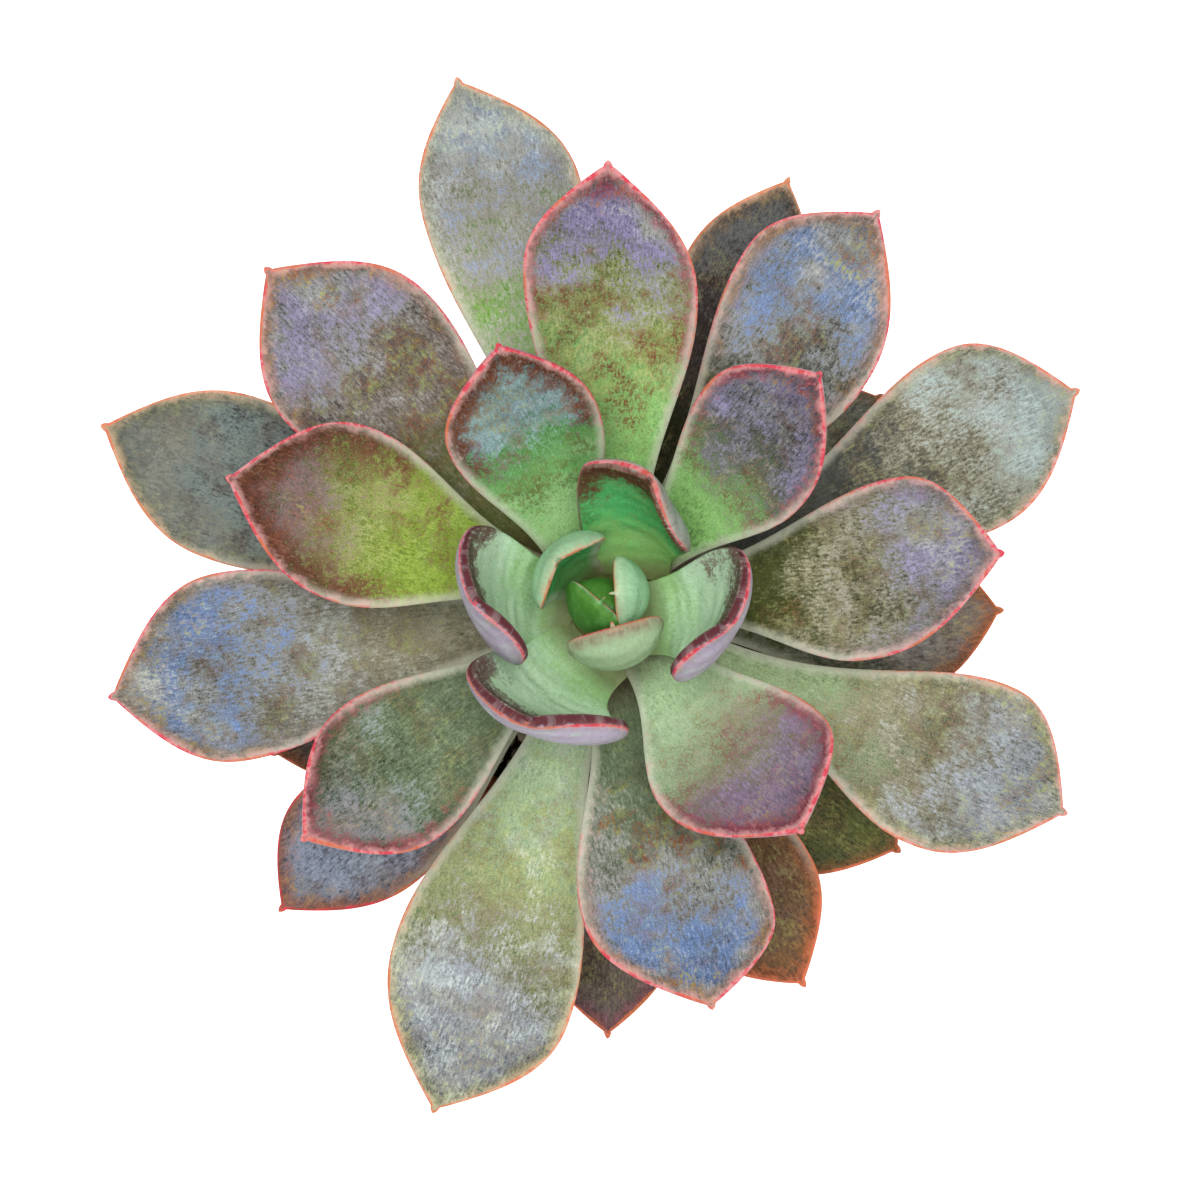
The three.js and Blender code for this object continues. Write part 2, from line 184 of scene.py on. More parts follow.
LOOKS = [
    # The lowest leaves' very dark root colours (bog, loam, umber) are partly their own dark colour
    # and partly painted shade under the leaves above them.
    ("bog", "moss", "moss", "loam", "bronze", "rust", "coral", "loam",
     {"Bloom": 0.1, "Rubbed": 0.0}),
    ("bog", "loam", "loam", "dusk", "rust", "rust", "coral", "loam",
     {"Bloom": 0.1, "Rubbed": 0.0}),
    ("bog", "moss", "dusk", "dusk", "bronze", "bronze", "coral", "loam",
     {"Bloom": 0.1, "Rubbed": 0.1}),
    ("bog", "umber", "loam", "ash", "plum", "rust", "coral", "loam",
     {"Bloom": 0.15, "Band": 0.8, "Rubbed": 0.0}),
    ("moss", "dusk", "taupe", "ash", "rust", "rust", "coral", "taupe",
     {"Band": 0.8, "Rubbed": 0.3}),
    ("loam", "ash", "ash", "haze", "rust", "rust", "crimson", "slate",
     {"Bloom": 0.6, "Band": 0.6, "Rubbed": 0.3}),
    ("bog", "umber", "graphite", "ash", "bronze", "peach", "coral", "dusk",
     {"Bloom": 0.2, "Rubbed": 0.0}),
    ("bronze", "bronze", "bronze", "ash", "rust", "coral", "coral", "bronze",
     {"Bloom": 0.1, "Band": 0.8, "Rubbed": 0.0}),
    ("bog", "graphite", "dusk", "teal", "olive", "peach", "coral", "sage",
     {"Bloom": 0.3, "Bloom at": 0.72, "Middle at": 0.5, "Band": 0.3, "Rubbed": 0.15,
      "Flecks": 0.2, "Grain": 0.6}),
    ("graphite", "drab", "mist", "teal", "olive", "rose", "coral", "cream",
     {"Middle at": 0.6, "Outer at": 0.74, "Bloom at": 0.9, "Bloom": 0.35, "Band": 0.6,
      "Band width": 1.6, "Rubbed": 0.1, "Flecks": 0.4, "Grain": 0.75}),
    ("sprout", "khaki", "slate", "haze", "khaki", "peach", "coral", "cream",
     {"Middle at": 0.46, "Outer at": 0.62, "Bloom": 0.35, "Band": 0.4, "Rubbed": 1.0}),
    ("fresh", "stone", "mist", "steel", "khaki", "peach", "coral", "cream",
     {"Middle at": 0.57, "Outer at": 0.8, "Bloom at": 0.86, "Bloom": 0.6, "Band": 0.2,
      "Flecks": 0.3, "Rubbed": 0.3, "Grain": 0.8}),
    ("celery", "drab", "slate", "haze", "khaki", "rose", "coral", "cream",
     {"Middle at": 0.46, "Outer at": 0.76, "Bloom": 0.4, "Band": 0.3, "Rubbed": 0.3,
      "Flecks": 0.7}),
    ("drab", "slate", "slate", "steel", "bronze", "rose", "crimson", "pearl",
     {"Middle at": 0.5, "Bloom": 1.0, "Band": 0.6, "Flecks": 0.8, "Rubbed": 0.4}),
    ("moss", "dusk", "slate", "steel", "rust", "rose", "crimson", "pearl",
     {"Outer at": 0.57, "Bloom": 0.9, "Rubbed": 0.1, "Flecks": 0.8, "Fleck colour": "sienna"}),
    ("olive", "taupe", "slate", "lilac", "rust", "rose", "crimson", "pearl",
     {"Bloom": 0.7, "Bloom at": 0.88, "Middle at": 0.44, "Outer at": 0.66, "Flecks": 0.9,
      "Rubbed": 0.1, "Fleck colour": "sienna"}),
    ("willow", "slate", "slate", "steel", "rust", "rose", "crimson", "pearl",
     {"Middle at": 0.5, "Bloom": 1.0, "Bloom at": 0.86, "Flecks": 1.0, "Rubbed": 0.15,
      "Fleck colour": "sienna"}),
    ("lime", "khaki", "russet", "ash", "cocoa", "rose", "crimson", "pearl",
     {"Middle at": 0.54, "Outer at": 0.74, "Band width": 4.4, "Band": 0.95, "Bloom": 0.45,
      "Bloom at": 0.84, "Rubbed": 0.1, "Flecks": 0.8, "Fleck colour": "sienna", "Tip at": 0.93}),
    ("moss", "drab", "slate", "lilac", "plum", "rose", "crimson", "cream",
     {"Middle at": 0.5, "Bloom": 0.7, "Bloom at": 0.86, "Rubbed": 0.1, "Flecks": 0.7,
      "Tip at": 0.95}),
    ("willow", "willow", "taupe", "haze", "wine", "rose", "crimson", "pearl",
     {"Outer at": 0.8, "Band width": 1.9, "Band": 0.9, "Bloom": 0.3, "Rubbed": 0.15,
      "Tip at": 0.94}),
    ("spring", "khaki", "slate", "lilac", "wine", "rose", "crimson", "pearl",
     {"Middle at": 0.48, "Outer at": 0.7, "Bloom": 0.9, "Bloom at": 0.86, "Band": 0.9,
      "Band width": 1.6, "Rubbed": 0.2, "Flecks": 1.0, "Fleck colour": "sienna", "Tip at": 0.93}),
    ("sprout", "drab", "mauve", "lilac", "wine", "rose", "crimson", "pearl",
     {"Middle at": 0.5, "Outer at": 0.72, "Bloom": 0.4, "Band": 0.8, "Band width": 2.2,
      "Rubbed": 0.3, "Tip at": 0.94, "Fleck colour": "wine", "Grain": 0.8}),
    ("spring", "dusk", "ash", "lilac", "wine", "rose", "crimson", "pearl",
     {"Middle at": 0.46, "Outer at": 0.62, "Bloom": 0.6, "Band": 0.9, "Band width": 1.6,
      "Rubbed": 0.15, "Flecks": 0.7, "Tip at": 0.93}),
    ("lettuce", "fern", "teal", "haze", "cocoa", "rose", "crimson", "pearl",
     {"Middle at": 0.34, "Outer at": 0.62, "Bloom": 0.3, "Bloom at": 0.7, "Band": 1.0,
      "Band width": 3.8, "Rubbed": 0.15, "Flecks": 0.7, "Tip at": 0.88, "Grain": 0.8}),
    (*CUPPED_PAINTS, {**CUPPED_LOOK, "Band width": 3.6, "Crest": 0.6}),
    (*CUPPED_PAINTS, {**CUPPED_LOOK, "Band width": 3.4, "Crest": 0.55}),
    (*CUPPED_PAINTS, {**CUPPED_LOOK, "Band width": 3.2, "Crest": 0.55}),
    ("spring", "emerald", "emerald", "fern", "cocoa", "rose", "crimson", "chalk",
     {"Band": 1.0, "Band width": 3.2, "Band from": 0.6, "Tip at": 0.78, "Flecks": 0.2,
      "Rim width": 0.2, "Rubbed": 0.1, "Grain": 0.4, "Crest": 0.3}),
    ("fern", "emerald", "mint", "spring", "bronze", "peach", "rust", "mint",
     {**HEART_LOOK, "Band": 0.5, "Band width": 1.0, "Rim width": 0.18}),
    ("fern", "mint", "mint", "chalk", "wine", "peach", "crimson", "sprout",
     {**HEART_LOOK, "Band": 1.0, "Band width": 2.2, "Rim width": 0.18}),
    ("fern", "fern", "mint", "mint", "peach", "peach", "coral", "mint",
     {**HEART_LOOK, "Band": 0.3, "Band width": 0.8, "Rim width": 0.15}),
    ("leek", "leek", "fern", "fern", "fresh", "mint", "peach", "leek",
     {**HEART_LOOK, "Band": 0.2, "Band width": 0.8, "Rim width": 0.15}),
    ("leek", "leek", "leek", "fern", "fresh", "mint", "peach", "leek",
     {**HEART_LOOK, "Band": 0.2, "Band width": 0.6, "Rim width": 0.15}),
]


def paint(name):
    """A named colour, or a #rrggbb one, as linear red, green, blue and alpha."""
    code = PAINTS.get(name, name).lstrip("#")
    parts = np.array([int(code[i:i + 2], 16) for i in (0, 2, 4)]) / 255
    linear = np.where(parts > 0.04045, ((parts + 0.055) / 1.055) ** 2.4, parts / 12.92)
    return (*linear, 1.0)


def surface(name, points, quads, triangles):
    """A smooth mesh object from vertex places and whole arrays of its faces, those with four
    corners and those with three."""
    mesh = bpy.data.meshes.new(name)
    mesh.vertices.add(len(points))
    mesh.vertices.foreach_set("co", np.asarray(points, np.float32).ravel())
    corners = np.concatenate([quads.ravel(), triangles.ravel()]).astype(np.int32)
    mesh.loops.add(len(corners))
    mesh.loops.foreach_set("vertex_index", corners)
    starts = np.concatenate([
        4 * np.arange(len(quads)), 4 * len(quads) + 3 * np.arange(len(triangles)),
    ]).astype(np.int32)
    mesh.polygons.add(len(starts))
    mesh.polygons.foreach_set("loop_start", starts)
    mesh.polygons.foreach_set("use_smooth", np.ones(len(starts), bool))
    mesh.update(calc_edges=True)
    piece = bpy.data.objects.new(name, mesh)
    bpy.context.collection.objects.link(piece)
    return piece


def tube_faces(rows, columns):
    """The faces of a closed tube whose points run from its first end, row by row, to its last:
    each row joins round to its own start and to the next row, the end rows to the two ends."""
    here = 1 + np.arange(rows * columns).reshape(rows, columns)
    beside = np.roll(here, -1, axis=1)
    quads = np.stack([here[:-1], here[1:], beside[1:], beside[:-1]], -1).reshape(-1, 4)
    start = np.stack([np.zeros(columns, int), here[0], beside[0]], -1)
    finish = np.stack([here[-1], np.full(columns, rows * columns + 1), beside[-1]], -1)
    return quads, np.vstack([start, finish])


def tube(name, grid, first, last):
    """A closed tube from rows of points, its two end rows drawn in to the points first and
    last."""
    points = np.vstack([[first], grid.reshape(-1, 3), [last]])
    return surface(name, points, *tube_faces(*grid.shape[:2]))


def circles(radius, angle, height, x=0.0, y=0.0):
    """Rows of points round an upright axis: x and y plus the radius times the cosine and the sine
    of the angle, at each row's height."""
    radius, height = np.broadcast_arrays(radius, height + 0 * angle)
    return np.stack([x + radius * np.cos(angle), y + radius * np.sin(angle), height], -1)


def record(piece, name, values, kind="FLOAT"):
    """Keeps one value, or one set of three, for each vertex, for the materials to read."""
    field = "value" if kind == "FLOAT" else "vector"
    attribute = piece.data.attributes.new(name, kind, "POINT")
    attribute.data.foreach_set(field, np.asarray(values, np.float32).ravel())


def margin(share, shoulder, leaf):
    """Half width as a share of the fullest: half a cosine wave from the neck up to the shoulder,
    then one less a power of the way on, down to the point."""
    rise = np.clip(share / shoulder, 0, 1) ** leaf["swell"]
    swelling = leaf["neck"] + (1 - leaf["neck"]) * (0.5 - 0.5 * np.cos(np.pi * rise))
    fall = np.clip((share - shoulder) / (1 - shoulder), 0, 1)
    closing = (1 - fall ** TIP_ROUNDNESS) ** TIP_SHARPNESS
    return np.where(share < shoulder, swelling, closing)


def leaf_form(leaf):
    """The leaf's grid of points. The midrib is the sum of small steps in a direction whose slope
    goes evenly from rise to lift. Each section lies on an arc that curls the margins up, and is
    deep below the arc and shallow above it. Slow waves make the faces uneven, the margin has a
    slight bead, and the point is a short spike that the blade runs out into."""
    share = np.sin(np.linspace(0, 1, ALONG + 1) * np.pi / 2) ** CROWDING
    slope = np.radians(leaf["rise"] + (leaf["lift"] - leaf["rise"]) * share)
    compass = np.radians(leaf["around"] + leaf["yaw"] + leaf["turn"] * share ** TURN_POWER)
    ahead = np.stack([
        np.cos(slope) * np.cos(compass), np.cos(slope) * np.sin(compass), np.sin(slope),
    ], -1)
    steps = 0.5 * (ahead[1:] + ahead[:-1]) * np.diff(share)[:, None] * leaf["long"]
    root = np.radians(leaf["around"])
    place = np.array([
        STEM_X + leaf["start"] * np.cos(root), STEM_Y + leaf["start"] * np.sin(root), leaf["up"],
    ])
    rib = place + np.vstack([np.zeros(3), np.cumsum(steps, 0)])
    right = np.stack([np.sin(compass), -np.cos(compass), np.zeros_like(compass)], -1)
    above = np.cross(right, ahead)

    blade = np.clip(share * leaf["long"] / (leaf["long"] - POINT_LENGTH), 0, 1)
    to_tip = (1 - share) * leaf["long"]
    size = min(1.0, leaf["wide"] / FULL_POINT_AT) ** POINT_SHRINKING
    spike = size * POINT_WIDTH * (1 - np.exp(-to_tip / POINT_ROUNDING)) * np.exp(
        -to_tip / POINT_FLARE)
    half = leaf["wide"] / 2
    halves = []
    for sign in (1, -1):
        shape = margin(blade, leaf["shoulder"] + sign * leaf["skew"], leaf)
        halves.append(half * (1 + sign * leaf["side"]) * shape)
    fullness = (0.5 * (halves[0] + halves[1]) / half) ** THINNING
    belly = np.sin(np.pi * np.minimum(BELLY_REACH * share, 1))
    belly = ROOT_THICKNESS + (1 - ROOT_THICKNESS) * belly
    thick = leaf["thick"] * belly * fullness + POINT_THICKNESS * spike
    curl = np.radians(leaf["cup"]) * np.clip(share / CURL_FROM, LEAST_CURL, 1)[:, None]

    angle = np.arange(AROUND) * 2 * np.pi / AROUND
    across, out = np.cos(angle)[None], np.sin(angle)[None]
    reach = np.where(across > 0, halves[0][:, None], halves[1][:, None]) + spike[:, None]
    bend = curl * across
    sideways = reach / curl * np.sin(bend)
    upward = reach / curl * (1 - np.cos(bend))
    depth = np.where(out > 0, UPPER_SHARE, 1 - UPPER_SHARE) * thick[:, None]
    skin = depth * np.sign(out) * np.abs(out) ** leaf["edge"]

    slant = np.gradient(reach, share * leaf["long"], axis=0)
    inward = reach * (1 - np.abs(across))
    rim = np.hypot(inward, skin) / np.sqrt(1 + slant ** 2)
    rim = np.minimum(rim, (POINT_MARGIN * to_tip * (1 + to_tip / MM))[:, None])
    bead = BEAD_HEIGHT * np.exp(-((rim - BEAD_INSET) / BEAD_SPREAD) ** 2)
    bead = bead * np.clip(reach / BEAD_REACH, 0, 1)
    phases = np.random.default_rng(WAVE_SEED + leaf["number"]).uniform(0, 2 * np.pi, (WAVES, 2))
    wave = sum(
        np.sin(phase[0] + (60 + 55 * n) * share[:, None] * leaf["long"] * 9)
        * np.sin(phase[1] + (150 + 90 * n) * sideways)
        for n, phase in enumerate(phases)
    )
    wave = WAVE_DEPTH * wave * np.abs(out) * np.clip(reach / WAVE_REACH, 0, 1)
    skin = skin + np.sign(out) * (bead + wave)

    points = (
        rib[:, None]
        + (sideways - skin * np.sin(bend))[..., None] * right[:, None]
        + (upward + skin * np.cos(bend))[..., None] * above[:, None]
    )
    facts = {
        "along": np.broadcast_to(share[:, None], reach.shape),
        "upper": np.broadcast_to(np.where(np.abs(out) < 1e-6, 0.5, out > 0), reach.shape),
        "rim": rim / MM,
    }
    facts["skin"] = np.stack([
        sideways / MM,
        np.broadcast_to(share[:, None] * leaf["long"] / MM, reach.shape),
        np.full(reach.shape, NOISE_STEP * leaf["number"]),
    ], -1)
    return points, rib, facts


def leaf_piece(leaf):
    """One leaf as a closed mesh, its root inside the stem, with its own surface facts."""
    points, rib, facts = leaf_form(leaf)
    piece = tube(f"blade_{leaf['number']:02d}", points[:-1], rib[0], rib[-1])
    for name, values in facts.items():
        inner = values[:-1].reshape(-1, *values.shape[2:])
        ends = [values[0].mean(0), values[-1].mean(0)]
        kind = "FLOAT_VECTOR" if values.ndim == 3 else "FLOAT"
        record(piece, name, np.concatenate([[ends[0]], inner, [ends[1]]]), kind)
    return piece


def add(tree, kind, feeds=None, **settings):
    """A node with its settings. feeds gives a socket a value, or the output that feeds it."""
    made = tree.nodes.new(kind)
    for setting, value in settings.items():
        setattr(made, setting, value)
    for socket, value in (feeds or {}).items():
        if isinstance(value, bpy.types.NodeSocket):
            tree.links.new(value, made.inputs[socket])
        else:
            made.inputs[socket].default_value = value
    return made


def sum_of(tree, operation, first, second, third=None):
    """One step of arithmetic."""
    feeds = {0: first, 1: second}
    if third is not None:
        feeds[2] = third
    return add(tree, "ShaderNodeMath", feeds, operation=operation).outputs[0]


def times(tree, product, *others):
    """One value times the others, one after another."""
    for value in others:
        product = sum_of(tree, "MULTIPLY", product, value)
    return product


def plus(tree, value, share, base):
    """A value times a share, added to a base value."""
    return sum_of(tree, "MULTIPLY_ADD", value, share, base)


def minus(tree, first, second):
    """One value less another."""
    return sum_of(tree, "SUBTRACT", first, second)


def fade(tree, value, low, high, start=0.0, end=1.0):
    """start below low, end above high, and a smooth change between them."""
    feeds = {"Value": value, "From Min": low, "From Max": high, "To Min": start, "To Max": end}
    made = add(tree, "ShaderNodeMapRange", feeds, interpolation_type="SMOOTHSTEP")
    return made.outputs[0]


def blend_in(tree, share, under, over, how="MIX"):
    """The colour over laid on the colour under, by a share."""
    feeds = {"Factor": share, 6: under, 7: over}
    made = add(tree, "ShaderNodeMix", feeds, data_type="RGBA", blend_type=how, clamp_factor=True)
    return made.outputs[2]


def grain_of(tree, where, scale, detail=3.0, roughness=0.55, distortion=0.0):
    """Cloudy noise between 0 and 1."""
    feeds = {"Vector": where, "Scale": scale, "Detail": detail, "Roughness": roughness,
             "Distortion": distortion}
    return add(tree, "ShaderNodeTexNoise", feeds).outputs["Fac"]


def fact(tree, name, output="Fac"):
    """A value kept on the mesh."""
    return add(tree, "ShaderNodeAttribute", attribute_name=name).outputs[output]


def stretched(tree, where, factors):
    """A place multiplied by a factor each way, so that noise read there is drawn out."""
    feeds = {0: where, 1: factors}
    return add(tree, "ShaderNodeVectorMath", feeds, operation="MULTIPLY").outputs[0]


def finish_group(name, colours=(), amounts=()):
    """An empty node group that takes colours and amounts, and gives a colour, a roughness and a
    height."""
    group = bpy.data.node_groups.new(name, "ShaderNodeTree")
    for way, kind, sockets in (
        ("INPUT", "Color", colours), ("INPUT", "Float", amounts),
        ("OUTPUT", "Color", ("Colour",)), ("OUTPUT", "Float", ("Roughness", "Height")),
    ):
        for socket in sockets:
            group.interface.new_socket(socket, in_out=way, socket_type=f"NodeSocket{kind}")
    return group


def close_group(group, colour, roughness, height):
    """Hands the three results of a finish group out, and returns the group."""
    add(group, "NodeGroupOutput", {"Colour": colour, "Roughness": roughness, "Height": height})
    return group


class LeafMarks:
    """What all of a leaf's paint reads: the facts kept on its mesh, and noises from slow to fine,
    whose names end in _out where they lie about nought. Grit joins fine lines, about three to the
    millimetre, and specks. Drift is the place along the leaf, made wandering and ragged."""

    def __init__(self, group):
        self.given = group.nodes.new("NodeGroupInput").outputs
        self.skin = fact(group, "skin", "Vector")
        self.along, self.rim = fact(group, "along"), fact(group, "rim")
        self.upper = fact(group, "upper")
        fine = stretched(group, self.skin, (1.1, 0.8, 1.0))
        drawn = stretched(group, self.skin, (2.7, 0.75, 1.0))
        self.wander = grain_of(group, self.skin, 0.11, 2.0, 0.6)
        self.mottle = grain_of(group, self.skin, 0.6, 4.0, 0.7)
        self.speck = grain_of(group, fine, 2.3, 3.0, 0.75)
        self.wander_out = minus(group, self.wander, 0.5)
        self.mottle_out = minus(group, self.mottle, 0.5)
        self.speck_out = minus(group, self.speck, 0.5)
        self.dust_out = minus(group, grain_of(group, fine, 5.2, 1.0, 0.6), 0.5)
        self.lines_out = minus(group, grain_of(group, drawn, 1.0, 2.0, 0.6), 0.5)
        self.grit = plus(group, self.lines_out, 0.7, self.speck_out)
        drift = plus(group, self.wander_out, 0.6, self.along)
        drift = plus(group, self.mottle_out, 0.3, drift)
        self.drift = plus(group, self.grit, 0.5, drift)
        patches = plus(group, self.mottle_out, 0.3, grain_of(group, self.skin, 0.15, 3.0, 0.55))
        self.patches = plus(group, self.grit, 0.3, patches)


def blade_paint(group, marks):
    """The upper face: three colours one after another from the root, rubbed patches, a powdery
    bloom in patches across the outer part, and flecks where the skin has browned."""
    given = marks.given
    middle = fade(group, minus(group, marks.drift, given["Middle at"]), -0.16, 0.16)
    outer = fade(group, minus(group, marks.drift, given["Outer at"]), -0.13, 0.13)
    colour = blend_in(group, middle, given["Root"], given["Middle"])
    colour = blend_in(group, outer, colour, given["Outer"])

    rubbed = plus(group, marks.grit, 0.3, grain_of(group, marks.skin, 0.2, 4.0, 0.68, 0.3))
    rubbed = times(group, fade(group, rubbed, 0.5, 0.6), given["Rubbed"], 0.42)
    colour = blend_in(group, rubbed, colour, given["Rub colour"])

    aside = sum_of(group, "ABSOLUTE", minus(group, marks.drift, given["Bloom at"]), 0.0)
    bloom = times(group, fade(group, aside, 0.03, 0.2, 1.0, 0.0),
                  fade(group, marks.patches, 0.31, 0.55), fade(group, marks.rim, 0.8, 2.6),
                  given["Bloom"])
    colour = blend_in(group, bloom, colour, given["Bloom colour"])

    brown = plus(group, marks.mottle_out, 0.35, grain_of(group, marks.skin, 0.19, 3.0, 0.6))
    brown = times(group, fade(group, brown, 0.46, 0.58), fade(group, marks.drift, 0.25, 0.45),
                  fade(group, bloom, 0.1, 0.7, 1.0, 0.35))
    flecks = times(group, fade(group, marks.grit, -0.12, 0.08), brown, given["Flecks"])
    warm = blend_in(group, fade(group, marks.mottle, 0.42, 0.62), given["Fleck colour"],
                    paint("olive"))
    return blend_in(group, flecks, colour, warm), bloom


def dark_band(group, marks):
    """How fully the dark band covers the upper face: a ragged strip inside the margin, from Band
    from outwards, and the whole face beyond Tip at, both thinned by paler specks."""
    given = marks.given
    ragged = plus(group, marks.mottle_out, 3.4, 1.0)
    ragged = plus(group, marks.grit, 1.8, ragged)
    ragged = sum_of(group, "MAXIMUM", ragged, 0.15)
    inward = sum_of(group, "DIVIDE", marks.rim, times(group, given["Band width"], ragged))
    reached = minus(group, marks.drift, given["Band from"])
    band = times(group, fade(group, inward, 0.35, 1.35, 1.0, 0.0), given["Band"],
                 fade(group, reached, -0.11, 0.11))
    near_tip = plus(group, marks.mottle_out, 0.25, marks.along)
    near_tip = plus(group, marks.grit, 0.16, near_tip)
    near_tip = fade(group, minus(group, near_tip, given["Tip at"]), -0.04, 0.04)
    band = sum_of(group, "MAXIMUM", band, times(group, near_tip, given["Band"]))
    return times(group, band, fade(group, marks.grit, 0.03, 0.2, 1.0, 0.7))


def leaf_tone(group, marks):
    """The grain of the skin, as a grey to multiply by: all the noises, weaker near the root."""
    tone = times(group, marks.speck_out, 1.8)
    tone = plus(group, marks.dust_out, 1.3, tone)
    tone = plus(group, marks.lines_out, 1.9, tone)
    tone = plus(group, marks.mottle_out, 1.3, tone)
    tone = plus(group, marks.wander_out, 1.5, tone)
    grain = times(group, marks.given["Grain"], fade(group, marks.drift, 0.25, 0.6, 0.6, 1.0))
    tone = sum_of(group, "MAXIMUM", plus(group, tone, grain, 1.0), 0.2)
    return add(group, "ShaderNodeCombineColor", {0: tone, 1: tone, 2: tone}).outputs[0]


def pale_marks(group, marks, bloom):
    """How fully cream covers the skin as specks of powder, and along the lower margins, which no
    leaf with a crest has."""
    powder = fade(group, grain_of(group, marks.skin, 2.6, 2.0, 0.8), 0.64, 0.76, 0.0, 0.5)
    powder = times(group, powder, fade(group, bloom, 0.1, 0.7, 0.35, 1.0))
    near = plus(group, marks.mottle_out, -1.2, marks.rim)
    margins = times(group, fade(group, near, 0.1, 1.7, 0.6, 0.0),
                    fade(group, marks.along, 0.55, 0.85, 1.0, 0.0),
                    fade(group, marks.given["Crest"], 0.0, 0.2, 1.0, 0.0))
    return powder, margins


def back_paint(group, marks, grey):
    """The under face: pale, with a soft wash of the band's colour near the margin. On a leaf with
    a crest the dark band goes on over the margin, down to the crest. Also how far it does."""
    given = marks.given
    back = blend_in(group, fade(group, marks.along, 0.15, 0.6), given["Root"],
                    given["Back colour"])
    back = blend_in(group, fade(group, marks.mottle, 0.45, 0.7, 0.0, 0.4), back, given["Outer"])
    wash = times(group, fade(group, marks.rim, 0.2, 2.2, 0.75, 0.0),
                 fade(group, marks.mottle, 0.3, 0.7, 0.25, 1.0))
    back = blend_in(group, times(group, wash, given["Band"]), back, given["Band colour"])
    over = minus(group, plus(group, marks.mottle_out, -0.8, marks.rim), given["Crest"])
    over = times(group, fade(group, over, -0.2, 0.1, 1.0, 0.0),
                 fade(group, given["Crest"], 0.0, 0.2), fade(group, marks.along, 0.45, 0.6),
                 fade(group, marks.mottle, 0.5, 0.62, 1.0, 0.6))
    back = blend_in(group, over, back, given["Band colour"])
    return blend_in(group, 0.6, back, grey, "MULTIPLY"), over


def edge_paint(group, marks, colour, over):
    """Lays the soft rim and the fine bright line on the colour, along the margin or the crest. The
    line is broken by the rim's colour and by amber, and both are of uneven width."""
    given = marks.given
    turning = fade(group, plus(group, marks.mottle_out, 0.6, marks.along), 0.42, 0.7)
    face = plus(group, marks.upper, 2.0, -1.0)
    away = sum_of(group, "ABSOLUTE", plus(group, marks.rim, face, given["Crest"]), 0.0)
    width = times(group, given["Rim width"], fade(group, marks.patches, 0.36, 0.64, 0.6, 1.5))
    away = sum_of(group, "DIVIDE", away, width)
    away = plus(group, marks.speck_out, 1.0, away)
    away = plus(group, marks.mottle_out, 0.8, away)
    soft = times(group, fade(group, away, 0.3, 2.4, 0.55, 0.0), turning,
                 fade(group, over, 0.1, 0.6, 1.0, 0.25),
                 fade(group, marks.mottle, 0.4, 0.6, 0.35, 1.0))
    colour = blend_in(group, soft, colour, given["Rim colour"])
    broken = fade(group, grain_of(group, marks.skin, 0.8, 2.0, 0.75), 0.4, 0.6)
    line = blend_in(group, plus(group, broken, 0.6, 0.4), given["Rim colour"],
                    given["Edge colour"])
    line = blend_in(group, fade(group, marks.wander, 0.5, 0.62, 0.0, 0.75), line,
                    paint("amber"))
    edge = times(group, fade(group, away, 0.25, 0.8, 0.9, 0.0), turning)
    return blend_in(group, edge, colour, line)


def leaf_skin_group():
    """The skin of a leaf: the upper face with its band, grain and pale marks, the back, and the
    margin over both, with a painted warm shade over the root end, where the leaves crowd together."""
    group = finish_group("Leaf skin", COLOUR_PLACES, LOOK)
    marks = LeafMarks(group)
    colour, bloom = blade_paint(group, marks)
    colour = blend_in(group, dark_band(group, marks), colour, marks.given["Band colour"])
    grey = leaf_tone(group, marks)
    colour = blend_in(group, 1.0, colour, grey, "MULTIPLY")
    for share in pale_marks(group, marks, bloom):
        colour = blend_in(group, share, colour, paint("cream"))
    back, over = back_paint(group, marks, grey)
    colour = blend_in(group, fade(group, marks.upper, 0.3, 0.7), back, colour)
    colour = edge_paint(group, marks, colour, over)
    # Painted shade: a warm russet laid over the root end of every leaf, where the leaves crowd in
    # on one another.
    root = fade(group, marks.along, 0.04, 0.24, 0.6, 0.0)
    colour = blend_in(group, root, colour, paint("russet"))
    height = plus(group, marks.speck, 0.5, times(group, marks.mottle, 0.5))
    return close_group(group, colour, fade(group, marks.mottle, 0.3, 0.7, 0.48, 0.66), height)


def give_finish(piece, name, group, relief, given=None):
    """Gives a piece a matt material whose colour, roughness and height come from a finish group.
    The height stands out by relief, in metres."""
    made = bpy.data.materials.new(name)
    made.use_nodes = True
    tree = made.node_tree
    shader = tree.nodes["Principled BSDF"]
    finish = tree.nodes.new("ShaderNodeGroup")
    finish.node_tree = group
    for socket, value in (given or {}).items():
        finish.inputs[socket].default_value = value
    shader.inputs["Specular IOR Level"].default_value = FAINT_GLOSS
    heights = {"Height": finish.outputs["Height"], "Distance": relief}
    bump = add(tree, "ShaderNodeBump", heights)
    tree.links.new(finish.outputs["Colour"], shader.inputs["Base Color"])
    tree.links.new(finish.outputs["Roughness"], shader.inputs["Roughness"])
    tree.links.new(bump.outputs["Normal"], shader.inputs["Normal"])
    piece.data.materials.append(made)


leaf_skin = leaf_skin_group()
for number, (row, look) in enumerate(zip(LEAVES, LOOKS), 1):
    sizes = dict(zip(("around", "up", "long", "wide", "rise", "lift"), row[:6]))
    blade = leaf_piece({**LEAF, **sizes, **row[6], "number": number})
    names = (*look[:8], RUB_COLOUR, look[8].get("Fleck colour", FLECK_COLOUR))
    given = {**LOOK, **look[8], **dict(zip(COLOUR_PLACES, map(paint, names)))}
    give_finish(blade, f"Leaf skin {number:02d}", leaf_skin, SKIN_RELIEF, given)
    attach(blade, "root")
    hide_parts(f"leaf_{number:02d}")

# ---------------------------------------------------------------------------------------------
# Stem. One short fleshy stem, woody at the foot, with the scars of fallen leaves in a spiral. It
# stands in the soil and carries every leaf.

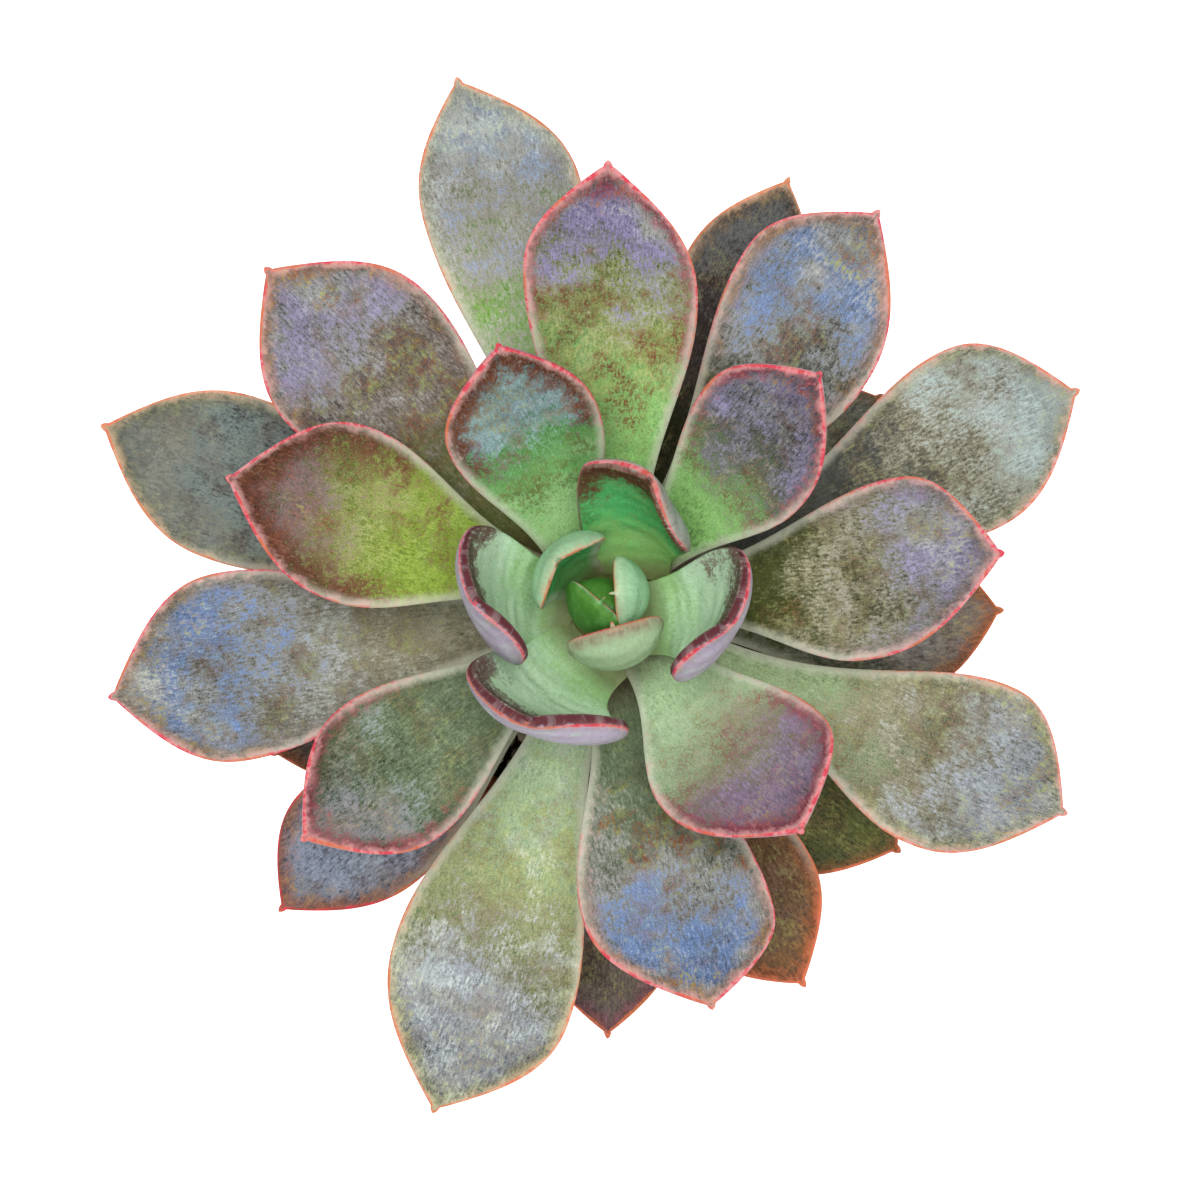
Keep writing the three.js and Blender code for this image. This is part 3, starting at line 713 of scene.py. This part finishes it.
STEM_AROUND = 72
STEM_RINGS = 150
SCARS = 14
SCAR_FROM = 0.0590  # the height of the lowest leaf scar
SCAR_TURN = 137.5  # degrees from one to the next
SCAR_RISE = 0.0008
SCAR_HEIGHT = 0.0009
SCAR_SPAN = 0.42  # radians
SCAR_DEPTH = 0.0004
STEM_RIPPLE = 0.00012
BARK_RELIEF = 0.0003
STEM_HEIGHTS = (0.044, 0.046, 0.062, 0.069, 0.074, 0.080, 0.086, 0.090, 0.094, 0.096, 0.0975,
                0.0986)
STEM_RADII = (0.0054, 0.0064, 0.0066, 0.0080, 0.0086, 0.0082, 0.0070, 0.0056, 0.0043, 0.0032,
              0.0022, 0.0009)


def stem_piece():
    """A round column whose radius follows a few measured places. A row of shallow hollows, each
    turned on from the last by the leaves' own angle, is pressed into it where leaves once
    stood."""
    height = np.linspace(STEM_HEIGHTS[0], STEM_HEIGHTS[-1], STEM_RINGS)
    radius = np.interp(height, STEM_HEIGHTS, STEM_RADII)[:, None]
    angle = (np.arange(STEM_AROUND) * 2 * np.pi / STEM_AROUND)[None]
    scar = np.zeros((STEM_RINGS, STEM_AROUND))
    for count in range(SCARS):
        middle = SCAR_FROM + SCAR_RISE * count
        turned = np.radians(SCAR_TURN * count)
        aside = (angle - turned + np.pi) % (2 * np.pi) - np.pi
        near = ((height[:, None] - middle) / SCAR_HEIGHT) ** 2 + (aside / SCAR_SPAN) ** 2
        scar = np.maximum(scar, np.exp(-near))
    ripple = STEM_RIPPLE * np.sin(5 * angle + 900 * height[:, None])
    radius = radius - SCAR_DEPTH * scar + ripple
    points = circles(radius, angle, height[:, None], STEM_X, STEM_Y)
    foot = (STEM_X, STEM_Y, STEM_HEIGHTS[0])
    top = (STEM_X, STEM_Y, STEM_HEIGHTS[-1] + 0.0002)
    piece = tube("stem_column", points[::-1], top, foot)
    record(piece, "scar", np.concatenate([[0], scar[::-1].ravel(), [0]]))
    return piece


def bark_group():
    """Stem bark: green-brown flesh that turns to grey-brown bark lower down, with paler scars."""
    group = finish_group("Stem bark")
    place = add(group, "ShaderNodeTexCoord").outputs["Object"]
    level = add(group, "ShaderNodeSeparateXYZ", {0: place}).outputs[2]
    fibre = grain_of(group, place, 700.0, 4.0, 0.65)
    cloud = grain_of(group, place, 160.0, 3.0)
    colour = blend_in(group, fade(group, level, 0.062, 0.088), paint("#6b5644"), paint("olive"))
    colour = blend_in(group, fade(group, fibre, 0.4, 0.7, 0.0, 0.6), colour, paint("#3f3226"))
    colour = blend_in(group, fade(group, fact(group, "scar"), 0.3, 0.8, 0.0, 0.7), colour,
                      paint("#b39f7c"))
    height = plus(group, fibre, 0.6, cloud)
    return close_group(group, colour, fade(group, cloud, 0.3, 0.7, 0.65, 0.85), height)


stem = stem_piece()
give_finish(stem, "Stem bark", bark_group(), BARK_RELIEF)
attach(stem, "root")
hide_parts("stem")

# ---------------------------------------------------------------------------------------------
# Soil. A loose dark mix of peat and bark that fills the pot to a little below its rim, strewn
# with small pale stones and darker crumbs.

SOIL_TOP = 0.056
SOIL_MOUND = 0.0015
SOIL_AROUND = 160
SOIL_RINGS = 70
FILL_GAP = 0.0003
POT_FLOOR = 0.005
POT_FLOOR_RADIUS = 0.018
POT_MOUTH_RADIUS = 0.0295
POT_HEIGHT = 0.064
EDGE_ROUNDING = 0.002
SOIL_DROP = 0.0022  # of the soil's edge, where it meets the wall
SIDE_START = 0.004  # how far below the top the soil follows the wall
CRUMB_HEIGHT = 0.0006
SOIL_RELIEF = 0.0008
STONES = 420
STONE_SEED = 7
STONE_SIZES = (0.0004, 0.0012)
STONE_REACH = 0.0012  # how far from the wall they stay
GRIT_RELIEF = 0.0002


def inside_radius(height):
    """The pot's inner radius, which grows evenly from the floor to the mouth."""
    low = POT_FLOOR + EDGE_ROUNDING
    share = (height - low) / (POT_HEIGHT - EDGE_ROUNDING - low)
    return POT_FLOOR_RADIUS + (POT_MOUTH_RADIUS - POT_FLOOR_RADIUS) * share


def crumbs(x, y):
    """Small bumps: a few sine waves of unlike lengths, across one another."""
    return (
        0.5 * np.sin(900 * x + 1.1) * np.sin(820 * y + 0.4)
        + 0.3 * np.sin(1900 * x + 700 * y) * np.sin(1700 * y - 500 * x + 2.0)
        + 0.2 * np.sin(3300 * x - 900 * y + 0.7) * np.sin(3100 * y + 800 * x)
    )


def soil_piece():
    """A closed round fill. The top is a low mound that drops at the wall, roughened by crumbs; the
    side follows the pot's wall; the bottom lies on its floor."""
    edge = inside_radius(SOIL_TOP) - FILL_GAP
    angle = (np.arange(SOIL_AROUND) * 2 * np.pi / SOIL_AROUND)[None]
    share = np.linspace(0.02, 1, SOIL_RINGS)[:, None]
    radius = edge * share * np.ones_like(angle)
    x, y = radius * np.cos(angle), radius * np.sin(angle)
    z = SOIL_TOP + SOIL_MOUND * (1 - share ** 2) - SOIL_DROP * share ** 14
    z = z + CRUMB_HEIGHT * crumbs(x, y) * np.clip((1 - share) / 0.05, 0, 1)
    top = np.stack([x, y, z], -1)
    low = POT_FLOOR + EDGE_ROUNDING
    side_height = np.linspace(SOIL_TOP - SIDE_START, low, 14)[:, None]
    side = circles(inside_radius(side_height) - FILL_GAP, angle, side_height)
    foot_radius = np.array([POT_FLOOR_RADIUS - EDGE_ROUNDING - FILL_GAP, 0.009, 0.002])[:, None]
    foot = circles(foot_radius, angle, POT_FLOOR)
    grid = np.concatenate([top, side, foot])
    return tube("soil_fill", grid, (0, 0, SOIL_TOP + SOIL_MOUND), (0, 0, POT_FLOOR))


def stones_piece():
    """Many small rounded stones in one mesh: each is a ball of rings, squashed, turned and made
    uneven by a few waves, half sunk in the soil outside the stem."""
    random = np.random.default_rng(STONE_SEED)
    rings, columns = 7, 10
    tilt = (np.arange(1, rings) * np.pi / rings)[:, None]
    turn = (np.arange(columns) * 2 * np.pi / columns)[None]
    ball = circles(np.sin(tilt), turn, np.cos(tilt)).reshape(-1, 3)
    ball = np.vstack([[[0, 0, 1]], ball, [[0, 0, -1]]])
    quads, caps = tube_faces(rings - 1, columns)
    angle = random.uniform(0, 2 * np.pi, STONES)
    out = np.sqrt(random.uniform(0.1, 0.94, STONES)) * (inside_radius(SOIL_TOP) - STONE_REACH)
    size = random.uniform(*STONE_SIZES, (STONES, 1, 1))
    size = size * random.uniform(0.7, 1.2, (STONES, 1, 3))
    uneven = 1 + 0.16 * np.sin(
        random.uniform(2, 5, (STONES, 1, 1)) * ball[None] + random.uniform(0, 6, (STONES, 1, 3)))
    spin = random.uniform(0, 2 * np.pi, STONES)
    turned = ball[None] * uneven * size
    cos, sin = np.cos(spin)[:, None], np.sin(spin)[:, None]
    x = turned[..., 0] * cos - turned[..., 1] * sin + (out * np.cos(angle))[:, None]
    y = turned[..., 0] * sin + turned[..., 1] * cos + (out * np.sin(angle))[:, None]
    share = out / inside_radius(SOIL_TOP)
    lie = SOIL_TOP + SOIL_MOUND * (1 - share ** 2) + CRUMB_HEIGHT * crumbs(
        out * np.cos(angle), out * np.sin(angle))
    z = turned[..., 2] + lie[:, None] + 0.2 * size[:, 0, 2][:, None]
    points = np.stack([x, y, z], -1).reshape(-1, 3)
    first = (np.arange(STONES) * len(ball))[:, None, None]
    piece = surface("soil_grit", points, (quads[None] + first).reshape(-1, 4),
                    (caps[None] + first).reshape(-1, 3))
    record(piece, "shade", np.repeat(random.uniform(0, 1, STONES), len(ball)))
    return piece


def soil_group(name, dark, light, scale):
    """Crumbly stuff: a dark and a light colour mixed by noise, and by each stone's own shade."""
    group = finish_group(name)
    place = add(group, "ShaderNodeTexCoord").outputs["Object"]
    crumb = grain_of(group, place, scale, 5.0, 0.7)
    share = plus(group, fact(group, "shade"), 0.8, crumb)
    colour = blend_in(group, fade(group, share, 0.4, 1.2), paint(dark), paint(light))
    return close_group(group, colour, fade(group, crumb, 0.3, 0.7, 0.8, 0.95), crumb)


soil = soil_piece()
peat = soil_group("Potting soil", "#1d140e", "#6a5038", 900.0)
give_finish(soil, "Potting soil", peat, SOIL_RELIEF)
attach(soil, "root")
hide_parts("soil")

grit = stones_piece()
give_finish(grit, "Grit", soil_group("Grit", "#4b3f34", "#c9bda8", 1600.0), GRIT_RELIEF)
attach(grit, "root")

# ---------------------------------------------------------------------------------------------
# Pot. One thick-walled fired clay pot, thrown on a wheel: tapered, with a plain band round the
# rim and a drain hole in the floor. It stands on its own foot.

POT_RIM_RADIUS = 0.035
POT_BAND_HEIGHT = 0.016
POT_BAND_RADIUS = 0.034
POT_NECK_RADIUS = 0.031
POT_BASE_RADIUS = 0.0225
DRAIN_RADIUS = 0.006
CHAMFER = 0.0005  # of the drain hole and the band
BAND_ROUNDING = 0.001
POT_AROUND = 180
POT_STEPS = 260
RING_DEPTH = 0.00006  # of the throwing rings
OUT_OF_ROUND = 0.00008
CLAY_RELIEF = 0.0002
LIME = "#e6d3c2"


def corner(radius, height, size, start, end):
    """Points of a round corner: an arc of a circle, from one angle to another in degrees."""
    angle = np.radians(np.linspace(start, end, 9))
    return np.stack([radius + size * np.cos(angle), height + size * np.sin(angle)], -1)


def pot_piece():
    """The pot's outline carried round its axis. Even steps along the outline carry faint throwing
    rings, and the wall is very slightly out of round."""
    r = EDGE_ROUNDING
    foot = POT_HEIGHT - POT_BAND_HEIGHT
    outline = np.vstack([
        [[DRAIN_RADIUS, CHAMFER], [DRAIN_RADIUS + CHAMFER, 0]],
        corner(POT_BASE_RADIUS - r, r, r, -90, -10),
        [[POT_NECK_RADIUS, foot - 2 * CHAMFER], [POT_NECK_RADIUS + CHAMFER, foot]],
        corner(POT_BAND_RADIUS - BAND_ROUNDING, foot + BAND_ROUNDING, BAND_ROUNDING, -90, 0),
        corner(POT_RIM_RADIUS - r, POT_HEIGHT - r, r, 0, 90),
        corner(POT_MOUTH_RADIUS + r, POT_HEIGHT - r, r, 90, 180),
        corner(POT_FLOOR_RADIUS - r, POT_FLOOR + r, r, 0, -90),
        [[DRAIN_RADIUS + CHAMFER, POT_FLOOR], [DRAIN_RADIUS, POT_FLOOR - CHAMFER]],
    ])
    closed = np.vstack([outline, outline[:1]])
    run = np.concatenate([[0], np.cumsum(np.hypot(*np.diff(closed, axis=0).T))])
    even = np.union1d(np.linspace(0, run[-1], POT_STEPS), run)[:-1]
    radius = np.interp(even, run, closed[:, 0])[:, None]
    height = np.interp(even, run, closed[:, 1])[:, None]
    angle = (np.arange(POT_AROUND) * 2 * np.pi / POT_AROUND)[None]
    wall = np.clip((height - 0.004) / 0.004, 0, 1)
    wall = wall * np.clip((POT_HEIGHT - 0.003 - height) / 0.003, 0, 1)
    rings = RING_DEPTH * np.sin(2600 * height + 2.0 * np.sin(angle)) * wall
    radius = radius + rings - OUT_OF_ROUND * wall * (1 + np.sin(2 * angle + 0.6))
    points = circles(radius, angle, height)
    rows = len(even)
    here = np.arange(rows * POT_AROUND).reshape(rows, POT_AROUND)
    ahead = np.roll(here, -1, 0)
    quads = np.stack([here, np.roll(here, -1, 1), np.roll(ahead, -1, 1), ahead], -1)
    return surface("clay_pot", points.reshape(-1, 3), quads.reshape(-1, 4), np.zeros((0, 3), int))


def clay_group():
    """Fired clay: an even red-brown with cloudy lighter and darker places, fine pores, and a pale
    crust of lime low down and on the rim, where water dries out."""
    group = finish_group("Fired clay")
    place = add(group, "ShaderNodeTexCoord").outputs["Object"]
    level = add(group, "ShaderNodeSeparateXYZ", {0: place}).outputs[2]
    cloud = grain_of(group, place, 45.0, 4.0, 0.55, 0.3)
    fine = grain_of(group, place, 1500.0, 3.0, 0.6)
    crust = grain_of(group, place, 110.0, 6.0, 0.68, 0.5)
    colour = blend_in(group, fade(group, cloud, 0.35, 0.65), paint("#a9583a"), paint("#c87c58"))
    colour = blend_in(group, fade(group, fine, 0.45, 0.75, 0.0, 0.35), colour, paint("#7d3f2a"))
    low = fade(group, level, 0.004, 0.026, 0.8, 0.0)
    low = times(group, low, fade(group, crust, 0.42, 0.62))
    high = fade(group, level, 0.056, 0.064, 0.0, 0.6)
    high = times(group, high, fade(group, crust, 0.44, 0.6))
    colour = blend_in(group, low, colour, paint(LIME))
    colour = blend_in(group, high, colour, paint(LIME))
    height = plus(group, crust, 0.4, times(group, fine, 0.6))
    return close_group(group, colour, fade(group, cloud, 0.3, 0.7, 0.78, 0.92), height)


pot = pot_piece()
give_finish(pot, "Fired clay", clay_group(), CLAY_RELIEF)
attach(pot, "root")
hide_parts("pot")

# ---------------------------------------------------------------------------------------------
# Studio. A plain white floor, faint light from a white room, a broad soft light overhead and a
# smaller one in front, and a camera that looks straight down on the rosette.

CAMERA_X = 0.00078
CAMERA_Y = 0.00013
CAMERA_LEVEL = 0.095  # the height in the rosette that the picture is sized at
CAMERA_DISTANCE = 0.7
PICTURE_WIDTH = 0.156  # what the picture spans at that height
SENSOR = 36.0
FLOOR_SIZE = 6
FLOOR_LEVEL = -0.0002  # just below the pot's foot
FLOOR_GLOW = 0.85  # lights the backs of the leaves and keeps the ground white
ROOM_LIGHT = 0.15
LIGHTS = (  # name, place, size, power
    ("overhead_light", (-0.05, 0.12, 1.2), 0.9, 15.8),
    ("front_light", (0.3, -0.7, 0.7), 0.4, 2.0),
)
LIGHTS_AIM = (0, 0, 0.09)

bpy.ops.mesh.primitive_plane_add(size=FLOOR_SIZE)
floor = bpy.context.object
floor.name = "white_floor"
floor.location.z = FLOOR_LEVEL
white = bpy.data.materials.new("White floor")
white.use_nodes = True
white_shader = white.node_tree.nodes["Principled BSDF"]
white_shader.inputs["Base Color"].default_value = (0.9, 0.9, 0.9, 1)
white_shader.inputs["Roughness"].default_value = 0.9
white_shader.inputs["Emission Color"].default_value = (1, 1, 1, 1)
white_shader.inputs["Emission Strength"].default_value = FLOOR_GLOW
floor.data.materials.append(white)

room = bpy.data.worlds.new("White room")
bpy.context.scene.world = room
room.use_nodes = True
sky = room.node_tree.nodes["Background"]
sky.inputs["Color"].default_value = (1, 1, 1, 1)
sky.inputs["Strength"].default_value = ROOM_LIGHT


def soft_light(name, place, size, power):
    """A square soft light at a place, turned towards the rosette."""
    lamp = bpy.data.lights.new(name, "AREA")
    lamp.shape = "SQUARE"
    lamp.size = size
    lamp.energy = power
    holder = bpy.data.objects.new(name, lamp)
    bpy.context.collection.objects.link(holder)
    away = np.array(place, float) - np.array(LIGHTS_AIM, float)
    distance = np.linalg.norm(away)
    holder.location = place
    holder.rotation_euler = (
        math.acos(away[2] / distance), 0, math.atan2(away[1], away[0]) + math.pi / 2,
    )


for light in LIGHTS:
    soft_light(*light)

view = bpy.data.cameras.new("camera")
view.sensor_width = SENSOR
view.lens = SENSOR * CAMERA_DISTANCE / PICTURE_WIDTH
view.clip_start = 0.05
camera = bpy.data.objects.new("camera", view)
camera.location = (CAMERA_X, CAMERA_Y, CAMERA_LEVEL + CAMERA_DISTANCE)
bpy.context.collection.objects.link(camera)
bpy.context.scene.camera = camera
bpy.context.scene.view_settings.view_transform = "Standard"
